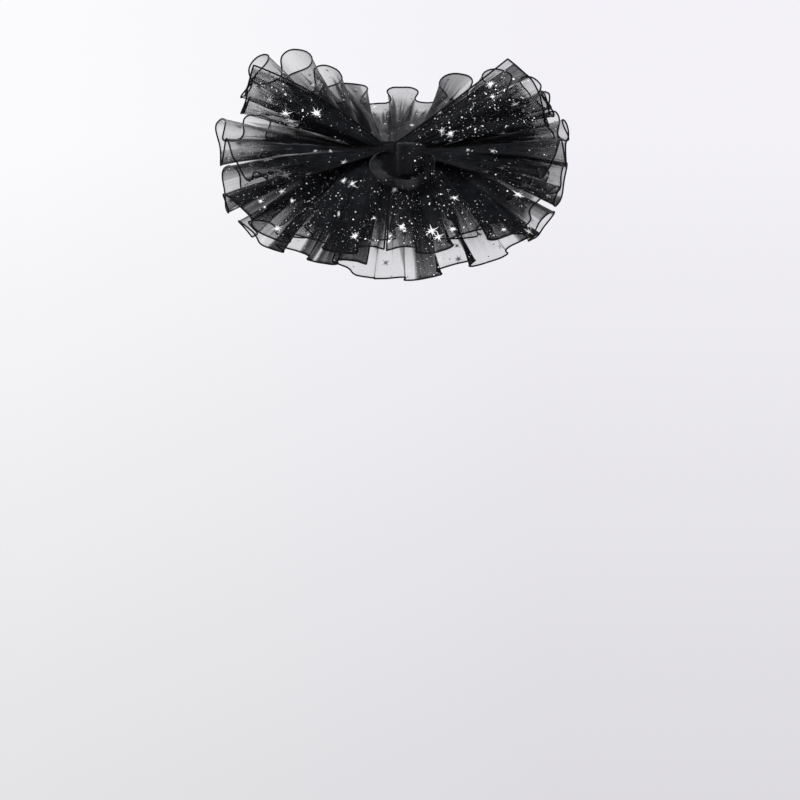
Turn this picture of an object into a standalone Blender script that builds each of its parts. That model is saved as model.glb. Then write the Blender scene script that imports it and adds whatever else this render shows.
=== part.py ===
"""Ruff collar: four gathered frills of sheer cloth on a neck band, open at the centre front.

The neck seam is a ring that dips towards the front, with the origin at its middle. +X is to the
right of someone who faces the collar, -Y is its front and +Z is up. A bearing is an angle round the
neck, in degrees from the centre front towards +X.
"""
from collections import namedtuple
from math import radians

import bmesh
import bpy
import numpy as np

MM = 0.001

# Neck seam
NECK_HALF_WIDTH = 60 * MM
NECK_HALF_DEPTH = 62 * MM
NECK_TILT = radians(8)      # the seam is lower at the front than at the back

# Cloth
WALL = 1.0 * MM
SEAM_CLEAR = 2.8 * MM       # from the band's outer face to a frill's seam
GATHER = 1.2 * MM           # how far the gathers still wave at the seam
FOLD_STEPS = 6              # points in one fold of a frill
DEPTH_STEPS = (0.0, 0.1, 0.3, 0.6, 1.0)     # where a frill has points, from its seam to its hem
END_FOLDS = 1.2             # number of folds over which a frill straightens at an open end

# Neck band
BAND_HEIGHT = 20 * MM
BAND_WALL = 1.5 * MM
BAND_OPENING = 3.0          # degrees left open on each side of the centre front
BAND_STEPS = 60

# One row is one fold. The folds of a frill stand above and below its middle line by turns. neck is
# the bearing of a fold's root and aim the bearing it runs out to, rise its slope above level, reach
# its length from seam to hem in millimetres, height how far it stands off the middle line there,
# curl how far its sides lean over the next folds, and bow how far it arches up halfway out. drop is
# how far its root lies below the seam, where one end of the frill laps under the other.
Fold = namedtuple("Fold", "neck aim rise reach height curl bow drop", defaults=(0,))

#          neck  aim rise reach height curl bow
TOP_FRILL = [
    Fold( -2,  81, 32, 191,  6,  0, 14),
    Fold(  9,  84, 25, 190,  8,  3, 12),
    Fold( 22,  88, 14, 178, 12,  9,  6),
    Fold( 36,  93, 15, 168, 17, 14,  0),
    Fold( 49,  97, 20, 166, 19, 12,  0),
    Fold( 62, 102, 21, 166, 18, 10,  4),
    Fold( 74, 108, 22, 169, 15, 11,  0),
    Fold( 86, 114, 25, 170, 17, 12,  4),
    Fold( 98, 121, 29, 172, 20, 14,  0),
    Fold(111, 129, 31, 168, 19, 13,  3),
    Fold(125, 138, 34, 172, 24, 16,  0),
    Fold(140, 145, 33, 166, 20, 14,  0),
    Fold(154, 154, 34, 164, 22, 14,  0),
    Fold(168, 165, 32, 156, 12, 10,  3),
    Fold(181, 176, 32, 155, 14, 11,  0),
    Fold(194, 187, 32, 154, 13, 11,  0),
    Fold(206, 196, 31, 161, 18, 14,  3),
    Fold(217, 201, 33, 166, 19, 13,  0),
    Fold(228, 206, 36, 170, 25, 16,  4),
    Fold(239, 214, 38, 173, 25, 16,  0),
    Fold(251, 224, 42, 177, 29, 17,  3),
    Fold(263, 238, 40, 176, 27, 17,  0),
    Fold(275, 253, 36, 177, 26, 16,  4),
    Fold(286, 260, 31, 168, 21, 14,  0),
    Fold(297, 266, 27, 165, 18, 13,  4),
    Fold(309, 270, 21, 167, 17, 10,  0),
    Fold(320, 273, 17, 168, 14,  8,  6),
    Fold(331, 276, 18, 180, 12,  6, 10),
    Fold(341, 280, 26, 196,  7,  0, 14),
]

UPPER_FRILL = [
    Fold( 10,  72,-14, 176,  8,  4,  0),
    Fold( 22,  78, -9, 178, 11,  9,  3),
    Fold( 35,  85, -3, 180, 17, 14,  0),
    Fold( 49,  92,  1, 182, 26, 15,  4),
    Fold( 64,  98,  8, 177, 15, 12,  0),
    Fold( 79, 105, 11, 177, 18, 14,  3),
    Fold( 94, 111, 12, 170, 22, 15,  0),
    Fold(109, 120, 10, 174, 18, 13,  3),
    Fold(125, 132,  9, 170, 21, 15,  0),
    Fold(141, 143,  7, 171, 17, 12,  4),
    Fold(157, 156,  7, 164, 23, 15,  0),
    Fold(173, 168,  9, 167, 18, 13,  3),
    Fold(189, 181,  7, 162, 22, 15,  0),
    Fold(205, 196, 10, 168, 18, 13,  4),
    Fold(220, 209,  9, 171, 22, 15,  0),
    Fold(235, 223, 13, 173, 18, 13,  3),
    Fold(250, 236, 11, 174, 23, 16,  0),
    Fold(266, 249, 11, 182, 18, 14,  3),
    Fold(283, 261,  7, 187, 20, 16,  0),
    Fold(300, 270,  2, 184, 28, 16,  4),
    Fold(317, 276, -3, 182, 15, 13,  0),
    Fold(332, 281,-10, 178, 12,  8,  3),
    Fold(345, 286,-15, 173,  8,  4,  0),
]

LOWER_FRILL = [
    Fold(  2,   2,-51, 172,  5,  4,  2),
    Fold( 14,  16,-49, 175,  9, 12,  0),
    Fold( 29,  31,-44, 172, 12, 15,  2),
    Fold( 46,  47,-36, 175, 16, 16,  0),
    Fold( 64,  63,-25, 175, 18, 15,  4),
    Fold( 80,  78,-17, 172, 24, 14,  0),
    Fold( 95,  92,-12, 169, 22, 13,  3),
    Fold(110, 106,-11, 173, 21, 16,  0),
    Fold(126, 122,-11, 172, 18, 15,  3),
    Fold(142, 140,-14, 171, 21, 17,  0),
    Fold(158, 156,-15, 164, 17, 15,  4),
    Fold(175, 174,-17, 165, 22, 18,  0),
    Fold(192, 192,-15, 162, 17, 15,  3),
    Fold(208, 209,-15, 169, 21, 17,  0),
    Fold(223, 225,-12, 170, 18, 14,  3),
    Fold(238, 240,-11, 178, 21, 16,  0),
    Fold(253, 256,-12, 180, 23, 14,  3),
    Fold(269, 272,-18, 186, 21, 15,  0),
    Fold(286, 288,-28, 183, 20, 18,  3),
    Fold(303, 304,-38, 177, 16, 16,  0),
    Fold(320, 320,-46, 175, 12, 15,  2),
    Fold(336, 335,-50, 173,  9, 12,  0),
    Fold(348, 348,-51, 171,  5,  4,  0),
]

BOTTOM_FRILL = [
    Fold(-32, -41,-66, 156,  5,  3,  0, 4.5),
    Fold(-19, -23,-67, 168,  5,  5,  0, 4.5),
    Fold( -4,  -5,-66, 178,  6,  8,  0, 3.5),
    Fold( 13,  14,-63, 179,  9, 12,  0, 1),
    Fold( 29,  31,-59, 177, 10, 13,  0),
    Fold( 45,  46,-52, 175, 12, 14,  2),
    Fold( 62,  62,-44, 177, 14, 17,  0),
    Fold( 80,  79,-37, 168, 14, 16,  3),
    Fold( 98,  97,-34, 170, 25, 18,  0),
    Fold(117, 116,-33, 169, 14, 17,  3),
    Fold(136, 135,-35, 173, 18, 19,  0),
    Fold(155, 154,-36, 165, 14, 17,  3),
    Fold(173, 173,-38, 165, 17, 19,  0),
    Fold(191, 191,-38, 162, 14, 17,  3),
    Fold(209, 210,-37, 169, 17, 19,  0),
    Fold(227, 228,-34, 171, 14, 17,  3),
    Fold(244, 245,-34, 176, 17, 18,  0),
    Fold(261, 262,-34, 174, 13, 15,  3),
    Fold(277, 278,-38, 176, 22, 17,  0),
    Fold(293, 294,-43, 173, 13, 15,  2),
    Fold(309, 309,-50, 176, 10, 14,  0),
    Fold(325, 323,-54, 175,  7, 10,  0),
    Fold(339, 337,-57, 173,  6,  5,  0),
]

# Each frill's folds and the height of its seam on the band
FRILLS = {
    "frill_top": (TOP_FRILL, 7.5 * MM),
    "frill_upper": (UPPER_FRILL, 2.5 * MM),
    "frill_lower": (LOWER_FRILL, -2.5 * MM),
    "frill_bottom": (BOTTOM_FRILL, -7.5 * MM),
}

# The front loop is a swag of cloth that hangs open at the top, with its lip rolled inwards. One row
# is one section across it: how far in front of the neck seam it lies, the middle of the section to
# the right and up, and its half width and half height, in millimetres.
Section = namedtuple("Section", "forward right up half_width half_height")

#         forward right  up half_width half_height
LOOP_SECTIONS = [
    Section(   5,    0, -1,      2,        1),
    Section(   9,    0, -3,      8,        3),
    Section(  17,    3, -6,     24,        9),
    Section(  30,    6,-13,     36,       16),
    Section(  44,    8,-20,     42,       24),
    Section(  55,    8,-25,     42,       28),
    Section(  60,    8,-27,     38,       26),
    Section(  58,    8,-27,     33,       20),
]
LOOP_SWEEP = radians(118)   # how far the loop reaches up each side from its lowest point
LOOP_STEPS = 24

# The front fold is a tongue of cloth that comes over from the neck and hangs in the right half of
# the loop. One row is one line across it, from its left to its right edge; bulge is how far the
# middle of the line stands forward.
Tongue = namedtuple("Tongue", "forward up left right bulge")

#        forward  up left right bulge
TONGUE_LINES = [
    Tongue(   5,   2,   1,   8,   0),
    Tongue(  12,   7,   0,  18,   2),
    Tongue(  25,   9,   0,  29,   4),
    Tongue(  36,   3,   0,  38,   6),
    Tongue(  42,  -9,   0,  42,   8),
    Tongue(  44, -23,   0,  41,   8),
    Tongue(  43, -35,   2,  34,   6),
]
TONGUE_STEPS = 10

BLACK_CLOTH = (0.020, 0.020, 0.023)
BAND_BLACK = (0.012, 0.012, 0.014)


def clear_scene():
    for obj in list(bpy.data.objects):
        bpy.data.objects.remove(obj, do_unlink=True)


def cloth_material(name, colour, roughness):
    material = bpy.data.materials.new(name)
    material.use_nodes = True
    shader = material.node_tree.nodes["Principled BSDF"]
    shader.inputs["Base Color"].default_value = (*colour, 1.0)
    shader.inputs["Roughness"].default_value = roughness
    shader.inputs["Metallic"].default_value = 0.0
    return material


def smooth_column(rows, column, place):
    """Values of one column on a smooth curve through the rows. Row i lies at place i + 0.5."""
    values = np.array([getattr(row, column) for row in rows], float)
    before = 2 * values[0] - values[1]
    after = 2 * values[-1] - values[-2]
    values = np.concatenate([[2 * before - values[0], before], values, [after, 2 * after - values[-1]]])
    x = np.clip(np.asarray(place, float) + 1.5, 1, len(values) - 2 - 1e-9)
    i = x.astype(int)
    f = x - i
    a, b, c, d = (values[i + step] for step in (-1, 0, 1, 2))
    return b + 0.5 * f * (c - a + f * (2 * a - 5 * b + 4 * c - d + f * (3 * (b - c) + d - a)))


def unit(vectors):
    return vectors / np.linalg.norm(vectors, axis=-1, keepdims=True)


def neck_point(bearing, lift):
    """A point of the neck seam, raised by lift along the neck."""
    x = NECK_HALF_WIDTH * np.sin(bearing)
    y = -NECK_HALF_DEPTH * np.cos(bearing)
    return np.stack([
        x,
        y * np.cos(NECK_TILT) - lift * np.sin(NECK_TILT),
        y * np.sin(NECK_TILT) + lift * np.cos(NECK_TILT),
    ], axis=-1)


def middle_line(rows, lift, place):
    """Roots and hem points of a frill with its waves pressed flat, and its directions there."""
    neck = np.radians(smooth_column(rows, "neck", place))
    aim = np.radians(smooth_column(rows, "aim", place))
    rise = np.radians(smooth_column(rows, "rise", place))
    reach = smooth_column(rows, "reach", place) * MM
    drop = smooth_column(rows, "drop", place) * MM
    root = neck_point(neck, lift - drop)
    out = np.stack([np.cos(rise) * np.sin(aim), -np.cos(rise) * np.cos(aim), np.sin(rise)], axis=-1)
    return root, root + out * reach[:, None], out


def frill_points(rows, lift, place, depth):
    """Points of a frill's middle surface, for each place along it and each depth, seam 0 to hem 1."""
    small = 0.02
    root, hem, out = middle_line(rows, lift, place)
    root_before, hem_before, _ = middle_line(rows, lift, place - small)
    root_after, hem_after, _ = middle_line(rows, lift, place + small)

    along = hem_after - hem_before
    along = unit(along - out * np.sum(along * out, axis=-1, keepdims=True))
    over = unit(np.cross(out, along))
    seam = unit(root_after - root_before)
    up = np.array([0.0, -np.sin(NECK_TILT), np.cos(NECK_TILT)])
    clear = unit(np.cross(seam, up))
    seam_over = unit(np.cross(out, seam))

    height, curl, bow = (
        smooth_column(rows, column, place)[:, None] * MM for column in ("height", "curl", "bow"))
    to_end = np.clip(np.minimum(place, len(rows) - place) / END_FOLDS, 0, 1)[:, None]
    to_end = to_end * to_end * (3 - 2 * to_end)
    wave = (np.pi * place)[:, None]
    hem = hem + height * np.sin(wave) * over
    lean = -curl * to_end * np.sin(2 * wave) * along
    arch = bow * seam_over
    root = root + clear * SEAM_CLEAR + GATHER * to_end * np.sin(wave) * seam_over

    depth = np.asarray(depth)[None, :, None]
    straight = root[:, None] + (hem - root)[:, None] * depth
    return straight + lean[:, None] * depth ** 2 + arch[:, None] * 4 * depth * (1 - depth)


def wall_mesh(name, points, thickness, material):
    """A closed wall of the given thickness about a grid of middle points."""
    along = np.gradient(points, axis=0)
    across = np.gradient(points, axis=1)
    normals = unit(np.cross(along, across))
    rows, columns = points.shape[:2]
    upper = points + normals * thickness / 2
    lower = points - normals * thickness / 2

    mesh = bmesh.new()
    top = [[mesh.verts.new(upper[i, j]) for j in range(columns)] for i in range(rows)]
    under = [[mesh.verts.new(lower[i, j]) for j in range(columns)] for i in range(rows)]
    for i in range(rows - 1):
        for j in range(columns - 1):
            mesh.faces.new((top[i][j], top[i + 1][j], top[i + 1][j + 1], top[i][j + 1]))
            mesh.faces.new((under[i][j], under[i][j + 1], under[i + 1][j + 1], under[i + 1][j]))
    rim = [(i, 0) for i in range(rows)]
    rim += [(rows - 1, j) for j in range(1, columns)]
    rim += [(i, columns - 1) for i in range(rows - 2, -1, -1)]
    rim += [(0, j) for j in range(columns - 2, 0, -1)]
    for (i, j), (k, m) in zip(rim, rim[1:] + rim[:1]):
        mesh.faces.new((top[i][j], under[i][j], under[k][m], top[k][m]))
    bmesh.ops.triangulate(mesh, faces=mesh.faces[:])
    bmesh.ops.recalc_face_normals(mesh, faces=mesh.faces[:])

    data = bpy.data.meshes.new(name)
    mesh.to_mesh(data)
    mesh.free()
    data.shade_smooth()
    data.materials.append(material)
    obj = bpy.data.objects.new(name, data)
    bpy.context.scene.collection.objects.link(obj)
    return obj


def add_frills():
    for name, (rows, lift) in FRILLS.items():
        place = np.linspace(0, len(rows), len(rows) * FOLD_STEPS + 1)
        points = frill_points(rows, lift, place, DEPTH_STEPS)
        wall_mesh(name, points, WALL, cloth_material(name, BLACK_CLOTH, 0.55))


def add_neck_band():
    bearing = np.radians(np.linspace(BAND_OPENING, 360 - BAND_OPENING, BAND_STEPS + 1))
    inset = 1 - (BAND_WALL / 2) / NECK_HALF_WIDTH
    lines = []
    for lift in (-BAND_HEIGHT / 2, 0.0, BAND_HEIGHT / 2):
        axis_point = np.array([0.0, -lift * np.sin(NECK_TILT), lift * np.cos(NECK_TILT)])
        lines.append(axis_point + (neck_point(bearing, lift) - axis_point) * inset)
    points = np.stack(lines, axis=1)
    wall_mesh("neck_band", points, BAND_WALL, cloth_material("neck_band", BAND_BLACK, 0.7))


def front_of_neck():
    return neck_point(np.zeros(1), 0.0)[0]


def add_front_loop():
    place = np.linspace(0.5, len(LOOP_SECTIONS) - 0.5, 2 * len(LOOP_SECTIONS) - 1)
    forward, right, up, half_width, half_height = (
        smooth_column(LOOP_SECTIONS, column, place)[:, None] * MM for column in Section._fields)
    turn = np.linspace(-LOOP_SWEEP, LOOP_SWEEP, LOOP_STEPS + 1)[None, :]
    points = front_of_neck() + np.stack([
        right + half_width * np.sin(turn),
        -forward + 0 * turn,
        up - half_height * np.cos(turn),
    ], axis=-1)
    wall_mesh("front_loop", points, WALL, cloth_material("front_loop", BLACK_CLOTH, 0.5))


def add_front_fold():
    place = np.linspace(0.5, len(TONGUE_LINES) - 0.5, 2 * len(TONGUE_LINES) - 1)
    forward, up, left, right, bulge = (
        smooth_column(TONGUE_LINES, column, place)[:, None] * MM for column in Tongue._fields)
    across = np.linspace(0, 1, TONGUE_STEPS + 1)[None, :]
    points = front_of_neck() + np.stack([
        left + (right - left) * across,
        -forward - bulge * np.sin(np.pi * across),
        up + 0 * across,
    ], axis=-1)
    wall_mesh("front_fold", points, WALL, cloth_material("front_fold", BLACK_CLOTH, 0.5))


clear_scene()
add_frills()
add_neck_band()
add_front_loop()
add_front_fold()
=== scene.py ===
import math
from collections import namedtuple

import bpy
import numpy as np
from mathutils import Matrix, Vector


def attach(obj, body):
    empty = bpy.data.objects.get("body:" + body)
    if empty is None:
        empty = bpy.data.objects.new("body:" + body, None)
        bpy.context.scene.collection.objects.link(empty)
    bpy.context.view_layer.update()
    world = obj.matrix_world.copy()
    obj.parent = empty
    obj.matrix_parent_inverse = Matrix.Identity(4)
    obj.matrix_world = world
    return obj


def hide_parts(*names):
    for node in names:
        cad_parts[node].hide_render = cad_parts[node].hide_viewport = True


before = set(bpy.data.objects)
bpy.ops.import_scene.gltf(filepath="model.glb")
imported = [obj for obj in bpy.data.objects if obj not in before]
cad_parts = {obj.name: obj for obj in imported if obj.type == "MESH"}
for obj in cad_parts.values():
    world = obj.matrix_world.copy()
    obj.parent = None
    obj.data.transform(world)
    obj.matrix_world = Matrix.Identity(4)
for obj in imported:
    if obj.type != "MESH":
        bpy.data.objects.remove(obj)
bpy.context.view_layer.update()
print("frame loaded:", ", ".join(sorted(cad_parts)))

mm = 0.001
scene = bpy.context.scene


def smoothStep(x):                          # from 0 to 1 with soft ends
    x = np.clip(x, 0, 1)
    return x * x * (3 - 2 * x)


def smoothColumn(rows, column, place):      # a smooth curve through one column; row i lies at i + 0.5
    values = np.array([getattr(row, column) for row in rows], float)
    before = 2 * values[0] - values[1]
    after = 2 * values[-1] - values[-2]
    values = np.concatenate([[2 * before - values[0], before], values, [after, 2 * after - values[-1]]])
    x = np.clip(np.asarray(place, float) + 1.5, 1, len(values) - 2 - 1e-9)
    i = x.astype(int)
    f = x - i
    a, b, c, d = (values[i + step] for step in (-1, 0, 1, 2))
    return b + 0.5 * f * (c - a + f * (2 * a - 5 * b + 4 * c - d + f * (3 * (b - c) + d - a)))


def unit(vectors):
    return vectors / np.linalg.norm(vectors, axis=-1, keepdims=True)


def gridFaces(rows, columns):
    i, j = np.meshgrid(np.arange(rows - 1), np.arange(columns - 1), indexing="ij")
    a = (i * columns + j).ravel()
    return np.stack([a, a + columns, a + columns + 1, a + 1], axis=1)


def newMesh(name, points, faces=(), edges=()):
    mesh = bpy.data.meshes.new(name)
    mesh.from_pydata([tuple(p) for p in points], [tuple(e) for e in edges],
                     [tuple(int(k) for k in f) for f in faces])
    mesh.update()
    return mesh


def newObject(name, mesh):
    obj = bpy.data.objects.new(name, mesh)
    scene.collection.objects.link(obj)
    return obj


def addUv(mesh, perPoint):                  # one UV for each point, in metres along the cloth
    layer = mesh.uv_layers.new(name="clothUv")
    corner = np.empty(len(mesh.loops), dtype=np.int32)
    mesh.loops.foreach_get("vertex_index", corner)
    layer.data.foreach_set("uv", perPoint[corner].astype(np.float32).ravel())


def addAttribute(mesh, name, values):
    values = np.asarray(values, dtype=np.float32)
    kind = "FLOAT_VECTOR" if values.ndim == 2 else "FLOAT"
    layer = mesh.attributes.new(name, kind, "POINT")
    layer.data.foreach_set("vector" if values.ndim == 2 else "value", values.ravel())


def freeze(obj):                            # the evaluated object as a plain mesh, with no modifier left
    bpy.context.view_layer.update()
    graph = bpy.context.evaluated_depsgraph_get()
    mesh = bpy.data.meshes.new_from_object(obj.evaluated_get(graph), depsgraph=graph)
    mesh.name = obj.name
    obj.modifiers.clear()
    obj.data = mesh
    return mesh


def meshPoints(mesh):
    co = np.empty(len(mesh.vertices) * 3)
    mesh.vertices.foreach_get("co", co)
    return co.reshape(-1, 3)


class Wire:                                 # a socket that can be added, multiplied and so on
    def __init__(self, tree, socket):
        self.tree = tree
        self.socket = socket

    def isVector(self):
        return self.socket.type == "VECTOR"

    def join(self, operation, other=None):
        vector = self.isVector() or (isinstance(other, Wire) and other.isVector())
        scale = vector and operation == "MULTIPLY" and not (
            self.isVector() and isinstance(other, Wire) and other.isVector())
        if scale:
            node = self.tree.nodes.new("ShaderNodeVectorMath")
            node.operation = "SCALE"
            arrow, factor = (self, other) if self.isVector() else (other, self)
            feed(self.tree, node.inputs[0], arrow)
            feed(self.tree, node.inputs["Scale"], factor)
            return Wire(self.tree, node.outputs["Vector"])
        node = self.tree.nodes.new("ShaderNodeVectorMath" if vector else "ShaderNodeMath")
        node.operation = operation
        feed(self.tree, node.inputs[0], self)
        if other is not None:
            feed(self.tree, node.inputs[1], other)
        return Wire(self.tree, node.outputs[0])

    def __add__(self, other):
        return self.join("ADD", other)

    def __sub__(self, other):
        return self.join("SUBTRACT", other)

    def __mul__(self, other):
        return self.join("MULTIPLY", other)

    def __pow__(self, other):
        return self.join("POWER", other)

    def sine(self):
        return self.join("SINE")


def feed(tree, socket, value):              # a wire is linked, anything else is set on the socket
    if isinstance(value, Wire):
        tree.links.new(value.socket, socket)
    elif isinstance(value, bpy.types.NodeSocket):
        tree.links.new(value, socket)
    else:
        socket.default_value = value


def addNode(tree, kind, feeds=None, **settings):
    node = tree.nodes.new(kind)
    for name, value in settings.items():
        setattr(node, name, value)
    for name, value in (feeds or {}).items():
        feed(tree, node.inputs[name], value)
    return node


def newGeometryTree(name, inputs):          # inputs: name -> (socket type, default)
    tree = bpy.data.node_groups.new(name, "GeometryNodeTree")
    tree.interface.new_socket("Geometry", in_out="INPUT", socket_type="NodeSocketGeometry")
    for label, (kind, default) in inputs.items():
        socket = tree.interface.new_socket(label, in_out="INPUT", socket_type=kind)
        if default is not None:
            socket.default_value = default
    tree.interface.new_socket("Geometry", in_out="OUTPUT", socket_type="NodeSocketGeometry")
    entry = tree.nodes.new("NodeGroupInput")
    leave = tree.nodes.new("NodeGroupOutput")
    return tree, entry, leave


def useTree(obj, tree, values):             # the modifier's inputs are set by their identifiers
    modifier = obj.modifiers.new(tree.name, "NODES")
    modifier.node_group = tree
    for item in tree.interface.items_tree:
        if item.in_out == "INPUT" and item.name in values:
            modifier[item.identifier] = values[item.name]


def attributeWire(tree, name, kind="FLOAT"):        # what is stored on the mesh, for a Geometry Nodes tree
    node = addNode(tree, "GeometryNodeInputNamedAttribute", {"Name": name}, data_type=kind)
    return Wire(tree, node.outputs["Attribute"])


def newMaterial(name, roughness=0.5, gloss=0.5):
    material = bpy.data.materials.new(name)
    material.use_nodes = True
    tree = material.node_tree
    shader = tree.nodes["Principled BSDF"]
    shader.inputs["Roughness"].default_value = roughness
    shader.inputs["Specular IOR Level"].default_value = gloss
    return material, tree, shader


def attributeShare(tree, name):             # the same for a material
    return Wire(tree, addNode(tree, "ShaderNodeAttribute", attribute_name=name).outputs["Fac"])


def colourBetween(tree, share, first, second, places=(0, 1)):
    ramp = addNode(tree, "ShaderNodeValToRGB", {"Fac": share})
    for stop, colour, place in zip(ramp.color_ramp.elements, (first, second), places):
        stop.position = place
        stop.color = (*colour, 1)
    return ramp.outputs["Color"]


def grain(tree, perMetre, detail=2.0, roughness=0.5):       # noise that stays put on the piece
    place = addNode(tree, "ShaderNodeTexCoord")
    noise = addNode(tree, "ShaderNodeTexNoise", {
        "Vector": place.outputs["Object"], "Scale": perMetre, "Detail": detail, "Roughness": roughness})
    return noise.outputs["Fac"]


def addRelief(tree, shader, height, strength, depth):       # a bump from noise or lines
    bump = addNode(tree, "ShaderNodeBump", {"Strength": strength, "Distance": depth, "Height": height})
    feed(tree, shader.inputs["Normal"], bump.outputs["Normal"])


camera = {
    "place": (0.00405, -3.2, -0.3375),      # level, a little below the collar
    "lens": 106.65,
    "sensor": 36.0,
    "farthest": 60.0,
}

Lamp = namedtuple("Lamp", "name place width height power")

studio = {
    "wallTop": 0.965,                       # painted light: how strongly the paper glows at the top and at the bottom, darker towards the floor
    "wallBottom": 0.760,
    "brightestAt": 0.30,                    # the height where it is brightest
    "leftLitTint": (1.0, 1.0, 1.02),
    "rightShadeTint": (0.93, 0.915, 0.96),
    "tintFrom": -0.9,                       # where the lit left tint ends and the painted shade on the right is full
    "tintTo": 0.35,
    "floorHeight": -1.35,
    "floorFront": -6.0,
    "wallPlace": 2.6,
    "wallHeight": 4.0,
    "bend": 0.9,                            # radius of the curve between floor and wall
    "bendSteps": 12,
    "halfWidth": 6.0,
    "skyLight": 0.75,
    "plyPasses": 64,                        # how many see-through faces a ray may pass
    "lamps": [
        Lamp("keyLight",  (-1.6, -2.4, 1.7), 1.6, 1.6, 72.0),
        Lamp("fillLight", ( 2.2, -2.0, 0.6), 1.6, 2.2, 30.0),
        Lamp("backLight", ( 0.4,  1.8, 1.9), 2.0, 1.2, 22.0),
    ],
}


def addCamera():
    data = bpy.data.cameras.new("camera")
    data.lens = camera["lens"]
    data.sensor_width = camera["sensor"]
    data.clip_end = camera["farthest"]
    obj = bpy.data.objects.new("camera", data)
    obj.location = camera["place"]
    obj.rotation_euler = (math.radians(90), 0, 0)
    scene.collection.objects.link(obj)
    scene.camera = obj


def addPaper():                             # floor and wall in one curved sheet that glows softly, with painted light: darker towards the floor and a painted shade to the right
    height, wall, bend = studio["floorHeight"], studio["wallPlace"], studio["bend"]
    steps = studio["bendSteps"]
    profile = [(studio["floorFront"], height), (wall - bend, height)]
    for k in range(1, steps):
        turn = math.radians(90 * k / steps)
        profile.append((wall - bend + bend * math.sin(turn), height + bend - bend * math.cos(turn)))
    profile += [(wall, height + bend), (wall, studio["wallHeight"])]
    half = studio["halfWidth"]
    points = [(x, y, z) for y, z in profile for x in (-half, half)]
    faces = [(2 * k, 2 * k + 1, 2 * k + 3, 2 * k + 2) for k in range(len(profile) - 1)]
    paper = newObject("studioPaper", newMesh("studioPaper", points, faces))
    paper.data.shade_smooth()
    material, tree, shader = newMaterial("studioPaper")
    tree.nodes.remove(shader)
    place = addNode(tree, "ShaderNodeTexCoord")
    split = addNode(tree, "ShaderNodeSeparateXYZ", {"Vector": place.outputs["Object"]})
    upwards = addNode(tree, "ShaderNodeMapRange", {
        "Value": split.outputs["Z"], "From Min": height, "From Max": studio["brightestAt"],
        "To Min": studio["wallBottom"], "To Max": studio["wallTop"]})
    aside = addNode(tree, "ShaderNodeMapRange", {
        "Value": split.outputs["X"], "From Min": studio["tintFrom"], "From Max": studio["tintTo"]})
    tint = colourBetween(tree, aside.outputs["Result"], studio["leftLitTint"], studio["rightShadeTint"])
    glow = addNode(tree, "ShaderNodeEmission", {"Color": tint, "Strength": upwards.outputs["Result"]})
    tree.links.new(glow.outputs["Emission"], tree.nodes["Material Output"].inputs["Surface"])
    paper.data.materials.append(material)


def addSky():
    world = bpy.data.worlds.new("studio")
    world.use_nodes = True
    sky = world.node_tree.nodes["Background"]
    sky.inputs["Color"].default_value = (1.0, 1.0, 1.0, 1)
    sky.inputs["Strength"].default_value = studio["skyLight"]
    scene.world = world
    scene.view_settings.view_transform = "Standard"
    scene.cycles.transparent_max_bounces = studio["plyPasses"]


def addLamp(lamp):                          # a soft panel that faces the collar
    data = bpy.data.lights.new(lamp.name, "AREA")
    data.shape = "RECTANGLE"
    data.size = lamp.width
    data.size_y = lamp.height
    data.energy = lamp.power
    obj = bpy.data.objects.new(lamp.name, data)
    obj.location = lamp.place
    obj.rotation_euler = (-Vector(lamp.place)).to_track_quat("-Z", "Y").to_euler()
    scene.collection.objects.link(obj)


addCamera()
addPaper()
addSky()
for lamp in studio["lamps"]:
    addLamp(lamp)
print("camera and studio ready")


sheerCloth = {
    "colour": (0.0034, 0.0037, 0.0048),
    "sheenHaze": (0.0125, 0.0132, 0.0163),       # painted sheen: a lighter base colour where crushed plies would catch light
    "sheenHazeRange": (0.42, 0.80),              # the share of the noise where it begins, and where it is full
    "sheenHazePerMetre": 62.0,
    "sheenHazeDetail": (5.0, 0.68),              # how many finer noises are added, and how strong each is
    "lipSheenColour": (0.040, 0.041, 0.046),     # painted sheen: the grey given to the loop's lip and the tongue's edge, as if bunched cloth caught light
    "lightThrough": 0.825,                  # share of light that passes one ply, seen square on
    "steepest": 0.16,                       # least cosine used where the ply is seen edge on
    "threads": 0.20,                        # how uneven the threads are
    "threadSize": (900, 55),                # how many to a metre, across and along
    "gatherLines": 1.1,                     # how uneven the gathers are
    "gatherSize": (150, 6),
    "bunching": 0.8,                        # how much the gathers change the plies
    "thinnest": -0.7,                       # and the least that they leave between two of them
    "roughness": 0.50,
    "gloss": 0.055,
    "sheen": 0.013,
    "sheenRoughness": 0.35,
    "sheenTint": (0.75, 0.76, 0.80),
    "relief": (0.35, 0.4 * mm),             # how strong and how deep
}

Tuck = namedtuple("Tuck", "perMetre shift shortest longest halfWidth")      # lengths: shares of the depth

tucks = {
    "layers": [                             # pleats that taper from the seam, too fine to model
        Tuck( 30,  3.1, 0.55, 1.00, 0.78),
        Tuck( 52, 17.4, 0.50, 0.96, 0.84),
        Tuck( 90, 40.9, 0.45, 0.90, 0.88),
    ],
    "plies": 3.6,                           # what one tuck adds
    "edge": 0.05,                           # how soft its edge is, in shares of its width
    "foldLine": 1.2,                        # plies seen edge on along its fold
    "foldHighlight": 0.10,                      # painted highlight: how much lighter the base colour is along its fold
}


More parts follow.
